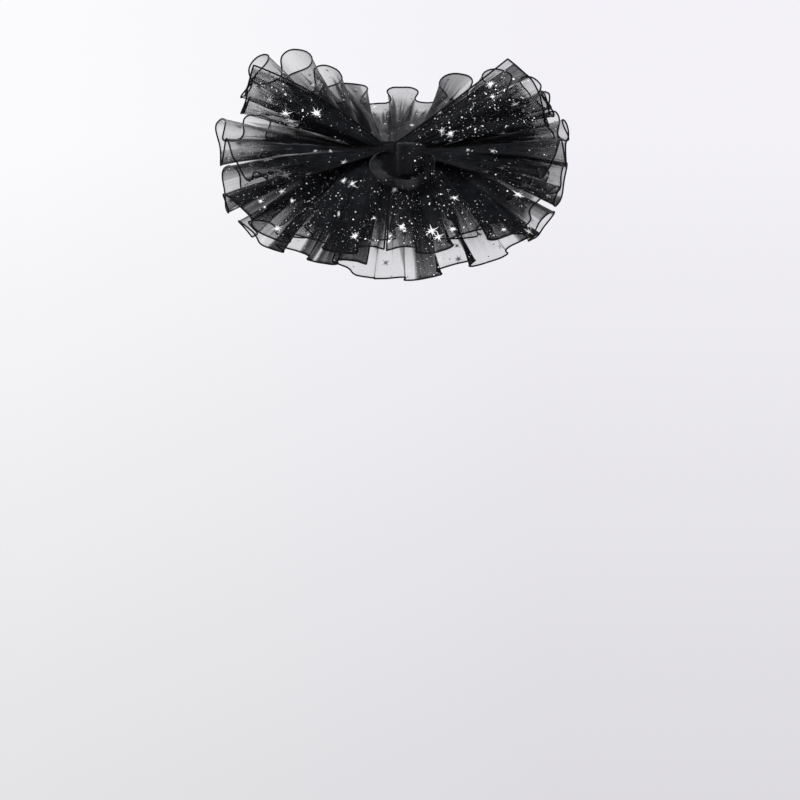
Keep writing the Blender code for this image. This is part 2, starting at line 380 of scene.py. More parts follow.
def sheerMaterial(name="sheerCloth", plies=1.0, gathered=True, sheen=sheerCloth["sheen"],
                  gloss=sheerCloth["gloss"], paintedSheenWhere=None):
    material, tree, shader = newMaterial(name, sheerCloth["roughness"], gloss)
    black = sheerCloth["colour"]
    shader.inputs["Base Color"].default_value = (*black, 1)
    # painted sheen: the base colour turns grey where the stored share is high
    if paintedSheenWhere:
        sheenGrey = colourBetween(tree, attributeShare(tree, paintedSheenWhere), black, sheerCloth["lipSheenColour"])
        feed(tree, shader.inputs["Base Color"], sheenGrey)
    shader.inputs["Sheen Weight"].default_value = sheen
    shader.inputs["Sheen Roughness"].default_value = sheerCloth["sheenRoughness"]
    shader.inputs["Sheen Tint"].default_value = (*sheerCloth["sheenTint"], 1)
    uv = addNode(tree, "ShaderNodeUVMap", uv_map="clothUv")

    def stretched(across, down, detail=2.0):    # noise from -1 to 1, drawn out along the cloth
        spot = addNode(tree, "ShaderNodeMapping", {
            "Vector": uv.outputs["UV"], "Scale": (across, down, 1)})
        noise = addNode(tree, "ShaderNodeTexNoise", {
            "Vector": spot.outputs["Vector"], "Scale": 1.0, "Detail": detail})
        return (Wire(tree, noise.outputs["Fac"]) - 0.5) * 2.0

    fine, drawnOut = sheerCloth["threadSize"]
    threads = (stretched(fine, drawnOut) + stretched(drawnOut, fine)) * sheerCloth["threads"]
    gatherLines = stretched(*sheerCloth["gatherSize"], detail=3.0) * sheerCloth["gatherLines"]
    facing = addNode(tree, "ShaderNodeLayerWeight", {"Blend": 0.5})
    square = (Wire(tree, facing.outputs["Facing"]) * -1.0 + 1.0).join("MAXIMUM", sheerCloth["steepest"])
    sideOfShell = plies / 2                     # the sheet has two sides, and light passes both
    passed = addNode(tree, "ShaderNodeMath", {0: sideOfShell, 1: square}, operation="DIVIDE")
    layers = Wire(tree, passed.outputs[0])
    if gathered:
        layers = layers * gatheredPlies(tree, shader, uv, gatherLines)
    layers = layers * (threads + 1.0)
    dark = layers * math.log(sheerCloth["lightThrough"])
    cover = addNode(tree, "ShaderNodeClamp", {"Value": dark.join("EXPONENT") * -1.0 + 1.0})
    feed(tree, shader.inputs["Alpha"], cover.outputs["Result"])
    addRelief(tree, shader, gatherLines + threads, *sheerCloth["relief"])
    return material


def gatheredPlies(tree, shader, uv, gatherLines):           # the plies that lie there, and the sheen painted into their base colour
    full = attributeShare(tree, "fullness")
    down = attributeShare(tree, "down")
    run = Wire(tree, addNode(tree, "ShaderNodeSeparateXYZ", {"Vector": uv.outputs["UV"]}).outputs["X"])
    bunched = (full - 1.0).join("MAXIMUM", 0.0)
    streaks = gatherLines.join("MAXIMUM", sheerCloth["thinnest"])
    full = full + bunched * streaks * sheerCloth["bunching"]
    # painted sheen: noise and each tuck's fold line make the base colour lighter, as if the plies caught
    # light
    paintedSheenShare = Wire(tree, grain(tree, sheerCloth["sheenHazePerMetre"], *sheerCloth["sheenHazeDetail"]))
    for tuck in tucks["layers"]:
        within, line = tuckPlies(tree, run, down, tuck)
        full = full + within * tucks["plies"] + line * tucks["foldLine"]
        # painted highlight along the tuck's fold line
        paintedSheenShare = paintedSheenShare + line * tucks["foldHighlight"]
    sheenHaze = colourBetween(tree, paintedSheenShare, sheerCloth["colour"], sheerCloth["sheenHaze"], sheerCloth["sheenHazeRange"])
    feed(tree, shader.inputs["Base Color"], sheenHaze)
    return full


def tuckPlies(tree, run, down, tuck):       # the plies that one layer of tapering tucks adds
    cell = addNode(tree, "ShaderNodeTexVoronoi", {
        "W": run * float(tuck.perMetre) + tuck.shift, "Scale": 1.0}, voronoi_dimensions="1D")
    luck = addNode(tree, "ShaderNodeSeparateColor", {"Color": cell.outputs["Color"]})
    reach = Wire(tree, luck.outputs["Red"]) * (tuck.longest - tuck.shortest) + tuck.shortest
    taper = addNode(tree, "ShaderNodeMath", {0: down, 1: reach}, operation="DIVIDE")
    half = (Wire(tree, taper.outputs[0]) * -1.0 + 1.0) * tuck.halfWidth
    inner = (half - Wire(tree, cell.outputs["Distance"])) * (1 / tucks["edge"])
    within = inner.join("MINIMUM", 1.0).join("MAXIMUM", 0.0)
    line = (inner.join("ABSOLUTE") * -1.0 + 1.0).join("MAXIMUM", 0.0)
    return within, line


hemFinish = {
    "dark": (0.0015, 0.0015, 0.002),
    "light": (0.007, 0.007, 0.008),
    "grainPerMetre": 900.0,
    "roughness": 0.7,
    "gloss": 0.08,
    "relief": (0.5, 0.3 * mm),
}


def hemMaterial():
    material, tree, shader = newMaterial("rolledHem", hemFinish["roughness"], hemFinish["gloss"])
    noise = grain(tree, hemFinish["grainPerMetre"], 3.0)
    black = colourBetween(tree, noise, hemFinish["dark"], hemFinish["light"])
    feed(tree, shader.inputs["Base Color"], black)
    addRelief(tree, shader, noise, *hemFinish["relief"])
    return material


foilFinish = {
    "front": (0.42, 1.0),                   # its darkest and its brightest grain
    # the stars' foil is a brighter copy of the same silver, a painted glint
    "stars": (0.85, 1.0),
    "through": (0.16, 0.50),                # where it shows through from the strip's other side
    "blueInDark": 1.06,
    "grainPerMetre": 260.0,
    "brightRange": (0.30, 0.50),            # the share of the noise where it turns from dark to bright
    "metal": 0.15,
    "roughness": 0.30,
    "relief": (0.3, 0.2 * mm),
    "backDark": (0.10, 0.10, 0.11),         # its back, seen through the cloth that it is printed on
    "backLight": (0.30, 0.30, 0.32),
    "backPerMetre": 700.0,
}


def foilMaterial(name, dark, bright):
    material, tree, shader = newMaterial(name, foilFinish["roughness"])
    noise = grain(tree, foilFinish["grainPerMetre"])
    silver = colourBetween(tree, noise, (dark, dark, dark * foilFinish["blueInDark"]),
                           (bright, bright, bright), foilFinish["brightRange"])
    feed(tree, shader.inputs["Base Color"], silver)
    shader.inputs["Metallic"].default_value = foilFinish["metal"]
    addRelief(tree, shader, noise, *foilFinish["relief"])
    return material


def backingMaterial():
    material, tree, shader = newMaterial("foilBacking")
    noise = grain(tree, foilFinish["backPerMetre"])
    back = colourBetween(tree, noise, foilFinish["backDark"], foilFinish["backLight"])
    feed(tree, shader.inputs["Base Color"], back)
    return material


ribbonFinish = {
    "dark": (0.003, 0.003, 0.004),
    "light": (0.007, 0.007, 0.009),
    "ribsPerMetre": 260.0,
    "ribWaver": 0.3,
    "roughness": 0.7,
    "gloss": 0.12,
    "relief": (0.6, 0.4 * mm),
}


def bandMaterial():
    material, tree, shader = newMaterial("bandRibbon", ribbonFinish["roughness"], ribbonFinish["gloss"])
    uv = addNode(tree, "ShaderNodeUVMap", uv_map="clothUv")
    ribs = addNode(tree, "ShaderNodeTexWave", {
        "Vector": uv.outputs["UV"], "Scale": ribbonFinish["ribsPerMetre"],
        "Distortion": ribbonFinish["ribWaver"]}, bands_direction="X").outputs["Fac"]
    black = colourBetween(tree, ribs, ribbonFinish["dark"], ribbonFinish["light"])
    feed(tree, shader.inputs["Base Color"], black)
    addRelief(tree, shader, ribs, *ribbonFinish["relief"])
    return material


sheer = sheerMaterial()
hemBlack = hemMaterial()
foil = foilMaterial("silverFoil", *foilFinish["front"])
# painted glint: the same foil made brighter for the stars
starFoil = foilMaterial("starFoil", *foilFinish["stars"])
dullFoil = foilMaterial("foilThroughCloth", *foilFinish["through"])
backing = backingMaterial()
ribbon = bandMaterial()
print("materials ready")


neck = {
    "halfWidth": 60 * mm,
    "halfDepth": 62 * mm,
    "tilt": math.radians(8),                # the seam is lower at the front
}

# neck, aim and rise in degrees, the rest in millimetres; neck and aim turn from the centre front
Fold = namedtuple("Fold", "neck aim rise reach height curl bow drop", defaults=(0,))
Pleat = namedtuple("Pleat", "start end plies reach")        # places in folds, reach in shares of the depth
Glitter = namedtuple("Glitter", "start end times")          # where the print is denser or sparser

cloth = {
    "ply": 0.30 * mm,
    "seamClear": 1.2 * mm,                  # from the neck's line to the gathered edges
    "gather": 0.7 * mm,                     # how far the folds throw the seam
    "endFolds": 1.2,                        # over how many folds a strip's ends flatten out
    "foldSteps": 20,
    "depthSteps": 30,
    "depthPower": 1.15,                     # more than 1 sets the rows closer together at the seam
    "seamPleats": 3.5,                      # small pleats in one fold, at the seam
    "seamPleatHeight": 0.85 * mm,
    "seamPleatFade": 2.2,
    "crease": 2.6 * mm,
    "creaseWaves": (1.1, 1.1),              # how close its waves lie, along the hem and down the cloth
    "flutter": 2.2 * mm,
    "flutterWaves": (3.4, 2.0),
    "crumple": 3.4 * mm,                    # how deep the crushed middle of a frill is
    "crumpleWaves": (2.2, 7.0),
    "wavesSpread": 2.6,                     # the noise keeps near its middle, and this spreads it out
    "seedStep": 13.7,                       # sets each strip's creases apart from the next one's
}

# seamHeight: where the seam lies on the band; printSide: the side that the foil is on
# cutDepth: the flat strip's width; cutShare: how much of its area lies in folds big enough to model
# opensAt: the share of the depth where the finest gathers open out
frills = {
    "frill_top": {
        "seamHeight": 7.5 * mm,
        "printSide": 1.0,
        "cutDepth": 0.19,
        "cutShare": 0.55,
        "opensAt": 0.83,
        "folds": [
            Fold( -2,  81, 32, 191,  6,  0, 14),
            Fold(  9,  84, 25, 190,  8,  3, 12),
            Fold( 22,  88, 14, 178, 12,  9,  6),
            Fold( 36,  93, 15, 168, 17, 14,  0),
            Fold( 49,  97, 20, 166, 19, 12,  0),
            Fold( 62, 102, 21, 166, 18, 10,  4),
            Fold( 74, 108, 22, 169, 15, 11,  0),
            Fold( 86, 114, 25, 170, 17, 12,  4),
            Fold( 98, 121, 29, 172, 20, 14,  0),
            Fold(111, 129, 31, 168, 19, 13,  3),
            Fold(125, 138, 34, 172, 24, 16,  0),
            Fold(140, 145, 33, 166, 20, 14,  0),
            Fold(154, 154, 34, 164, 22, 14,  0),
            Fold(168, 165, 32, 156, 12, 10,  3),
            Fold(181, 176, 32, 155, 14, 11,  0),
            Fold(194, 187, 32, 154, 13, 11,  0),
            Fold(206, 196, 31, 161, 18, 14,  3),
            Fold(217, 201, 33, 166, 19, 13,  0),
            Fold(228, 206, 36, 170, 25, 16,  4),
            Fold(239, 214, 38, 173, 25, 16,  0),
            Fold(251, 224, 42, 177, 29, 17,  3),
            Fold(263, 238, 40, 176, 27, 17,  0),
            Fold(275, 253, 36, 177, 26, 16,  4),
            Fold(286, 260, 31, 168, 21, 14,  0),
            Fold(297, 266, 27, 165, 18, 13,  4),
            Fold(309, 270, 21, 167, 17, 10,  0),
            Fold(320, 273, 17, 168, 14,  8,  6),
            Fold(331, 276, 18, 180, 12,  6, 10),
            Fold(341, 280, 26, 196,  7,  0, 14),
        ],
        "pleats": [
            Pleat(0, 0.3, 0.8, 1), Pleat(0.3, 1.25, 8, 1), Pleat(1.25, 2.3, 7, 0.88),
            Pleat(2.3, 3.4, 5, 0.84), Pleat(3.4, 3.9, 3, 1), Pleat(5.2, 5.9, 3, 1),
            Pleat(7.4, 8, 2, 1), Pleat(9.3, 9.9, 2.2, 1), Pleat(12.2, 12.8, 1.8, 1),
            Pleat(16.4, 16.9, 2, 1), Pleat(19.3, 20, 1.8, 1), Pleat(23.5, 24.1, 2.4, 0.9),
            Pleat(26.2, 26.9, 2.6, 0.86), Pleat(27.9, 28.3, 3, 0.8), Pleat(28.3, 28.9, 3, 1),
        ],
        "glitter": [
            Glitter(0, 3.6, 1.9), Glitter(4, 7, 1.4), Glitter(8, 22, 0.8), Glitter(25, 29, 1.1),
        ],
    },
    "frill_upper": {
        "seamHeight": 2.5 * mm,
        "printSide": 1.0,
        "cutDepth": 0.18,
        "cutShare": 0.55,
        "opensAt": 0.83,
        "folds": [
            Fold( 10,  72,-14, 176,  8,  4,  0),
            Fold( 22,  78, -9, 178, 11,  9,  3),
            Fold( 35,  85, -3, 180, 17, 14,  0),
            Fold( 49,  92,  1, 182, 26, 15,  4),
            Fold( 64,  98,  8, 177, 15, 12,  0),
            Fold( 79, 105, 11, 177, 18, 14,  3),
            Fold( 94, 111, 12, 170, 22, 15,  0),
            Fold(109, 120, 10, 174, 18, 13,  3),
            Fold(125, 132,  9, 170, 21, 15,  0),
            Fold(141, 143,  7, 171, 17, 12,  4),
            Fold(157, 156,  7, 164, 23, 15,  0),
            Fold(173, 168,  9, 167, 18, 13,  3),
            Fold(189, 181,  7, 162, 22, 15,  0),
            Fold(205, 196, 10, 168, 18, 13,  4),
            Fold(220, 209,  9, 171, 22, 15,  0),
            Fold(235, 223, 13, 173, 18, 13,  3),
            Fold(250, 236, 11, 174, 23, 16,  0),
            Fold(266, 249, 11, 182, 18, 14,  3),
            Fold(283, 261,  7, 187, 20, 16,  0),
            Fold(300, 270,  2, 184, 28, 16,  4),
            Fold(317, 276, -3, 182, 15, 13,  0),
            Fold(332, 281,-10, 178, 12,  8,  3),
            Fold(345, 286,-15, 173,  8,  4,  0),
        ],
        "pleats": [
            Pleat(1.05, 1.75, 4, 1), Pleat(1.75, 2.1, 2.4, 0.94), Pleat(2.1, 2.8, 4.5, 1),
            Pleat(3.4, 3.9, 3, 1), Pleat(5.6, 6.1, 2.6, 1), Pleat(8.3, 9, 2.2, 1),
            Pleat(11.5, 12.1, 2.4, 1), Pleat(14.6, 15.1, 2.2, 1), Pleat(17.3, 17.8, 2.4, 1),
            Pleat(19.2, 19.7, 2.8, 1), Pleat(20.1, 20.6, 1.4, 0.93), Pleat(20.9, 21.4, 3, 0.86),
            Pleat(21.5, 22, 3, 1),
        ],
        "glitter": [
            Glitter(0, 3.2, 0.5), Glitter(19, 23, 2.1),
        ],
    },
    "frill_lower": {
        "seamHeight": -2.5 * mm,
        "printSide": -1.0,
        "cutDepth": 0.18,
        "cutShare": 0.55,
        "opensAt": 1.18,
        "folds": [
            Fold(  2,   2,-51, 172,  5,  4,  2),
            Fold( 14,  16,-49, 175,  9, 12,  0),
            Fold( 29,  31,-44, 172, 12, 15,  2),
            Fold( 46,  47,-36, 175, 16, 16,  0),
            Fold( 64,  63,-25, 175, 18, 15,  4),
            Fold( 80,  78,-17, 172, 24, 14,  0),
            Fold( 95,  92,-12, 169, 22, 13,  3),
            Fold(110, 106,-11, 173, 21, 16,  0),
            Fold(126, 122,-11, 172, 18, 15,  3),
            Fold(142, 140,-14, 171, 21, 17,  0),
            Fold(158, 156,-15, 164, 17, 15,  4),
            Fold(175, 174,-17, 165, 22, 18,  0),
            Fold(192, 192,-15, 162, 17, 15,  3),
            Fold(208, 209,-15, 169, 21, 17,  0),
            Fold(223, 225,-12, 170, 18, 14,  3),
            Fold(238, 240,-11, 178, 21, 16,  0),
            Fold(253, 256,-12, 180, 23, 14,  3),
            Fold(269, 272,-18, 186, 21, 15,  0),
            Fold(286, 288,-28, 183, 20, 18,  3),
            Fold(303, 304,-38, 177, 16, 16,  0),
            Fold(320, 320,-46, 175, 12, 15,  2),
            Fold(336, 335,-50, 173,  9, 12,  0),
            Fold(348, 348,-51, 171,  5,  4,  0),
        ],
        "pleats": [
            Pleat(0.6, 1.1, 4, 1), Pleat(1.5, 2.2, 5, 1), Pleat(3.1, 3.7, 5, 1),
            Pleat(3.7, 4.4, 4, 0.93), Pleat(5.2, 5.7, 3.2, 1), Pleat(7.8, 8.5, 2.6, 1),
            Pleat(10.6, 11.1, 2.4, 1), Pleat(13.4, 14, 2.6, 1), Pleat(16.3, 16.9, 2.6, 1),
            Pleat(18.4, 19, 6.5, 1), Pleat(19.8, 20.4, 4, 1), Pleat(20.4, 21.1, 4, 0.9),
            Pleat(21.1, 22.1, 5, 1),
        ],
        "glitter": [
            Glitter(0, 3, 1.35), Glitter(3, 4.4, 0.8), Glitter(19.4, 21.5, 1.3),
        ],
    },
    "frill_bottom": {
        "seamHeight": -7.5 * mm,
        "printSide": -1.0,
        "cutDepth": 0.18,
        "cutShare": 0.55,
        "opensAt": 0.90,
        "folds": [
            Fold(-32, -41,-66, 156,  5,  3,  0, 4.5),
            Fold(-19, -23,-67, 168,  5,  5,  0, 4.5),
            Fold( -4,  -5,-66, 178,  6,  8,  0, 3.5),
            Fold( 13,  14,-63, 179,  9, 12,  0, 1),
            Fold( 29,  31,-59, 177, 10, 13,  0),
            Fold( 45,  46,-52, 175, 12, 14,  2),
            Fold( 62,  62,-44, 177, 14, 17,  0),
            Fold( 80,  79,-37, 168, 14, 16,  3),
            Fold( 98,  97,-34, 170, 25, 18,  0),
            Fold(117, 116,-33, 169, 14, 17,  3),
            Fold(136, 135,-35, 173, 18, 19,  0),
            Fold(155, 154,-36, 165, 14, 17,  3),
            Fold(173, 173,-38, 165, 17, 19,  0),
            Fold(191, 191,-38, 162, 14, 17,  3),
            Fold(209, 210,-37, 169, 17, 19,  0),
            Fold(227, 228,-34, 171, 14, 17,  3),
            Fold(244, 245,-34, 176, 17, 18,  0),
            Fold(261, 262,-34, 174, 13, 15,  3),
            Fold(277, 278,-38, 176, 22, 17,  0),
            Fold(293, 294,-43, 173, 13, 15,  2),
            Fold(309, 309,-50, 176, 10, 14,  0),
            Fold(325, 323,-54, 175,  7, 10,  0),
            Fold(339, 337,-57, 173,  6,  5,  0),
        ],
        "pleats": [
            Pleat(3.42, 4.2, 8, 1), Pleat(4.65, 5.3, 8, 1), Pleat(6.4, 7.1, 6, 1),
            Pleat(8.3, 8.9, 3, 1), Pleat(10.4, 10.9, 2.4, 1), Pleat(12.5, 13.2, 2.6, 1),
            Pleat(14.4, 15, 2.4, 1), Pleat(16.6, 17.1, 3, 1), Pleat(19.4, 19.8, 6, 1),
            Pleat(20.61, 21.33, 8, 1), Pleat(21.37, 23, 8, 1),
        ],
        "glitter": [
            Glitter(3.4, 5.3, 1.4), Glitter(20.6, 23, 1.4),
        ],
    },
}


def neckPoint(bearing, lift):
    x = neck["halfWidth"] * np.sin(bearing)
    y = -neck["halfDepth"] * np.cos(bearing)
    level, slope = math.cos(neck["tilt"]), math.sin(neck["tilt"])
    return np.stack([x, y * level - lift * slope, y * slope + lift * level], axis=-1)


def middleLine(frill, place):               # root, hem and way out of a frill with its waves pressed flat
    rows = frill["folds"]
    bearing = np.radians(smoothColumn(rows, "neck", place))
    aim = np.radians(smoothColumn(rows, "aim", place))
    rise = np.radians(smoothColumn(rows, "rise", place))
    reach = smoothColumn(rows, "reach", place) * mm
    drop = smoothColumn(rows, "drop", place) * mm
    root = neckPoint(bearing, frill["seamHeight"] - drop)
    out = np.stack([np.cos(rise) * np.sin(aim), -np.cos(rise) * np.cos(aim), np.sin(rise)], axis=-1)
    return root, root + out * reach[:, None], out, reach


def flatFrill(name, frill):                 # the ungathered fan, with what the gathers need stored on it
    rows = frill["folds"]
    count = len(rows) * cloth["foldSteps"] + 1
    place = np.linspace(0, len(rows), count)
    depth = np.linspace(0, 1, cloth["depthSteps"] + 1) ** cloth["depthPower"]
    small = 0.02                                # of a fold, to find which way the cloth runs
    root, hemLine, out, reach = middleLine(frill, place)
    rootBefore, hemBefore, _, _ = middleLine(frill, place - small)
    rootAfter, hemAfter, _, _ = middleLine(frill, place + small)
    along = hemAfter - hemBefore
    along = unit(along - out * np.sum(along * out, axis=-1, keepdims=True))
    seam = unit(rootAfter - rootBefore)
    up = np.array([0.0, -math.sin(neck["tilt"]), math.cos(neck["tilt"])])
    root = root + unit(np.cross(seam, up)) * cloth["seamClear"]
    toEnd = smoothStep(np.minimum(place, len(rows) - place) / cloth["endFolds"])

    points = root[:, None] + (hemLine - root)[:, None] * depth[None, :, None]
    mesh = newMesh(name, points.reshape(-1, 3), gridFaces(count, len(depth)))
    perRow = {
        "rootPoint": root, "hemPoint": hemLine, "along": along,
        "over": unit(np.cross(out, along)), "seamOver": unit(np.cross(out, seam)),
        "place": place, "toEnd": toEnd,
        "foldHeight": smoothColumn(rows, "height", place) * mm,
        "foldCurl": smoothColumn(rows, "curl", place) * mm * toEnd,
        "foldBow": smoothColumn(rows, "bow", place) * mm,
    }
    for label, values in perRow.items():
        addAttribute(mesh, label, np.repeat(values, len(depth), axis=0))
    addAttribute(mesh, "depth", np.tile(depth, count))
    return mesh, count, len(depth), reach, depth


def gatherTree():                           # throws the flat fan into its folds
    tree, entry, leave = newGeometryTree("gathers", {
        "Seam gather": ("NodeSocketFloat", cloth["gather"]),
        "Seam pleats": ("NodeSocketFloat", cloth["seamPleats"]),
        "Seam pleat height": ("NodeSocketFloat", cloth["seamPleatHeight"]),
        "Crease": ("NodeSocketFloat", cloth["crease"]),
        "Hem flutter": ("NodeSocketFloat", cloth["flutter"]),
        "Crumple": ("NodeSocketFloat", cloth["crumple"]),
        "Seed": ("NodeSocketFloat", 0.0),
        "Cloth": ("NodeSocketMaterial", None),
    })

    def given(label):
        return Wire(tree, entry.outputs[label])

    def wavering(perFold, perDepth, shift):     # smooth noise from -1 to 1, and shift gives another one
        at = addNode(tree, "ShaderNodeCombineXYZ", {
            "X": place * perFold, "Y": depth * perDepth, "Z": given("Seed") + shift})
        noise = addNode(tree, "ShaderNodeTexNoise", {
            "Vector": at.outputs["Vector"], "Scale": 1.0, "Detail": 1.0})
        return (Wire(tree, noise.outputs["Fac"]) - 0.5) * cloth["wavesSpread"]

    place = attributeWire(tree, "place")
    depth = attributeWire(tree, "depth")
    over = attributeWire(tree, "over", "FLOAT_VECTOR")
    seamOver = attributeWire(tree, "seamOver", "FLOAT_VECTOR")
    turn = place * math.pi
    swing = turn.sine()
    hemAt = attributeWire(tree, "hemPoint", "FLOAT_VECTOR") + over * (
        attributeWire(tree, "foldHeight") * swing)
    rootAt = attributeWire(tree, "rootPoint", "FLOAT_VECTOR") + seamOver * (
        given("Seam gather") * attributeWire(tree, "toEnd") * swing)
    lean = attributeWire(tree, "along", "FLOAT_VECTOR") * (
        attributeWire(tree, "foldCurl") * (turn * 2.0).sine() * -1.0)
    nearSeam = (depth * -1.0 + 1.0) ** cloth["seamPleatFade"]
    pleats = seamOver * (given("Seam pleat height") * (turn * given("Seam pleats")).sine() * nearSeam)
    arch = seamOver * (attributeWire(tree, "foldBow") * depth * (depth * -1.0 + 1.0) * 4.0)
    creases = over * (given("Crease") * wavering(*cloth["creaseWaves"], 0.0) * depth)
    flutter = over * (given("Hem flutter") * wavering(*cloth["flutterWaves"], 7.0) * depth ** 3.0)
    crumple = over * (
        given("Crumple") * wavering(*cloth["crumpleWaves"], 15.0) * depth * (depth * -1.0 + 1.0) * 2.0)
    spread = rootAt + (hemAt - rootAt) * depth + lean * depth ** 2.0
    moved = spread + arch + pleats + creases + flutter + crumple

    shaped = addNode(tree, "GeometryNodeSetPosition", {
        "Geometry": entry.outputs["Geometry"], "Position": moved})
    real = addNode(tree, "GeometryNodeRealizeInstances", {"Geometry": shaped.outputs["Geometry"]})
    smooth = addNode(tree, "GeometryNodeSetShadeSmooth", {"Geometry": real.outputs["Geometry"]})
    dressed = addNode(tree, "GeometryNodeSetMaterial", {
        "Geometry": smooth.outputs["Geometry"], "Material": entry.outputs["Cloth"]})
    tree.links.new(dressed.outputs["Geometry"], leave.inputs[0])
    return tree


gathers = gatherTree()


def dropScratch(mesh):                      # the stored columns have done their work
    for name in [a.name for a in mesh.attributes if not a.name.startswith(".")]:
        if name not in ("position", "sharp_face", "material_index", "clothUv"):
            mesh.attributes.remove(mesh.attributes[name])


pressing = {
    "plies": 1.5,                           # how many plies the finest gathers add near the seam
    "fadesOver": 0.30,                      # the share of the depth over which they open out
    "uneven": 0.09,                         # how much the place where they open wanders
    "perFold": 1.7,                         # how often it wanders
    "seed": 60,
    "pleatEdge": 0.03,                      # how soft the edge of a pressed pleat is, in folds
}


def smoothNoise(place, seed):               # about -1 to 1, the same on every run
    rng = np.random.default_rng(seed)
    total = np.zeros(np.shape(place))
    fainter, highest = 0.55, 1.6
    for k in range(3):                      # each layer is twice as fine as the one before
        knots = rng.uniform(-1, 1, 400)
        x = np.asarray(place, float) * 2 ** k + 20
        i = x.astype(int)
        f = smoothStep(x - i)
        total += (knots[i] * (1 - f) + knots[i + 1] * f) * fainter ** k
    return total / highest


def fullness(grid, place, depth, frill, seed):      # how many plies of cloth lie in each place
    steps = np.linalg.norm(np.diff(grid, axis=0), axis=2)
    window = np.ones(cloth["foldSteps"] + 1) / (cloth["foldSteps"] + 1)
    half = window.size // 2
    padded = np.pad(steps, ((half, half + 1), (0, 0)), mode="edge")
    wide = np.stack([np.convolve(column, window, mode="valid") for column in padded.T], axis=1)
    opensAt = frill["opensAt"] + pressing["uneven"] * smoothNoise(place * pressing["perFold"], seed)
    inside = smoothStep((opensAt[:, None] - depth[None, :]) / pressing["fadesOver"])
    pressed = 0
    for pleat in frill["pleats"]:               # knife pleats that lie flat, most of them right to the hem
        edge = pressing["pleatEdge"]
        across = np.clip((place - pleat.start) / edge, 0, 1) * np.clip((pleat.end - place) / edge, 0, 1)
        down = np.clip((pleat.reach + edge - depth) / edge, 0, 1)
        pressed = pressed + pleat.plies * across[:, None] * down[None, :]
    return wide[:, -1:] / wide * (1 + pressing["plies"] * inside + pressed)


def makeFrill(name, frill, seed):
    mesh, count, columns, reach, depth = flatFrill(name, frill)
    obj = newObject(name, mesh)
    useTree(obj, gathers, {"Seed": seed * cloth["seedStep"], "Cloth": sheer})
    mesh = freeze(obj)
    grid = meshPoints(mesh).reshape(count, columns, 3)
    dropScratch(mesh)
    place = np.linspace(0, len(frill["folds"]), count)
    layers = fullness(grid, place, depth, frill, pressing["seed"] + seed)
    addAttribute(mesh, "fullness", layers.ravel())
    addAttribute(mesh, "down", np.tile(depth, count))
    run = np.concatenate([[0], np.cumsum(np.linalg.norm(np.diff(grid[:, -1], axis=0), axis=1))])
    uv = np.stack([np.repeat(run, columns), (reach[:, None] * depth[None, :]).ravel()], axis=1)
    addUv(mesh, uv)
    return obj, grid, run[-1]


frillParts = {}
for seed, (node, frill) in enumerate(frills.items()):
    obj, grid, hemLength = makeFrill(node.replace("frill_", "") + "Frill", frill, seed)
    frillParts[node] = {"obj": obj, "grid": grid, "hemLength": hemLength}
    print("gathered", obj.name, "hem", round(hemLength, 3), "m")


def thicken(obj, ply):
    modifier = obj.modifiers.new("ply", "SOLIDIFY")
    modifier.thickness = ply
    modifier.offset = 0.0
    modifier.use_even_offset = False
    freeze(obj)


hem = {
    "thickness": 2.4 * mm,
    "sides": 7,                             # of its round section
    "stitchLength": 2.2 * mm,
    "stitchDepth": 0.16,                    # how much thinner it is between two stitches
    "pointsPerStitch": 2.0,
}


def hemTree():                              # a thin roll along a line, nipped in by its stitches
    tree, entry, leave = newGeometryTree("rolledHem", {
        "Thickness": ("NodeSocketFloat", hem["thickness"]),
        "Stitch length": ("NodeSocketFloat", hem["stitchLength"]),
        "Stitch depth": ("NodeSocketFloat", hem["stitchDepth"]),
        "Thread": ("NodeSocketMaterial", None),
    })
    step = Wire(tree, entry.outputs["Stitch length"]) * (1 / hem["pointsPerStitch"])
    line = addNode(tree, "GeometryNodeMeshToCurve", {"Mesh": entry.outputs["Geometry"]})
    points = addNode(tree, "GeometryNodeResampleCurve", {
        "Curve": line.outputs["Curve"], "Length": step}, mode="LENGTH")
    spot = addNode(tree, "GeometryNodeSplineParameter")
    stitches = addNode(tree, "ShaderNodeMath", {
        0: spot.outputs["Length"], 1: entry.outputs["Stitch length"]}, operation="DIVIDE")
    nip = (Wire(tree, stitches.outputs[0]) * (2 * math.pi)).sine() * 0.5 + 0.5
    radius = (nip * Wire(tree, entry.outputs["Stitch depth"]) * -1.0 + 1.0) * (
        Wire(tree, entry.outputs["Thickness"]) * 0.5)
    ring = addNode(tree, "GeometryNodeCurvePrimitiveCircle", {"Resolution": hem["sides"], "Radius": 1.0})
    tube = addNode(tree, "GeometryNodeCurveToMesh", {
        "Curve": points.outputs["Curve"], "Profile Curve": ring.outputs["Curve"], "Scale": radius,
        "Fill Caps": True})
    real = addNode(tree, "GeometryNodeRealizeInstances", {"Geometry": tube.outputs["Mesh"]})
    smooth = addNode(tree, "GeometryNodeSetShadeSmooth", {"Geometry": real.outputs["Geometry"]})
    dressed = addNode(tree, "GeometryNodeSetMaterial", {
        "Geometry": smooth.outputs["Geometry"], "Material": entry.outputs["Thread"]})
    tree.links.new(dressed.outputs["Geometry"], leave.inputs[0])
    return tree


rolledHem = hemTree()


def makeHem(name, line):
    edges = [(k, k + 1) for k in range(len(line) - 1)]
    obj = newObject(name, newMesh(name, line, edges=edges))
    useTree(obj, rolledHem, {"Thread": hemBlack})
    freeze(obj)
    return obj


def frillEdge(grid):                        # up one end of a frill, along its hem and down the other end
    return np.concatenate([grid[0, 1:], grid[1:-1, -1], grid[-1, :0:-1]])


for part in frillParts.values():
    part["hem"] = makeHem(part["obj"].name + "Hem", frillEdge(part["grid"]))
print("hems rolled")


# density to a square metre, sizes from the middle out, bare edges in shares of the depth
Motifs = namedtuple("Motifs", "density smallest largest favourSmall fromHem fromSeam seed")

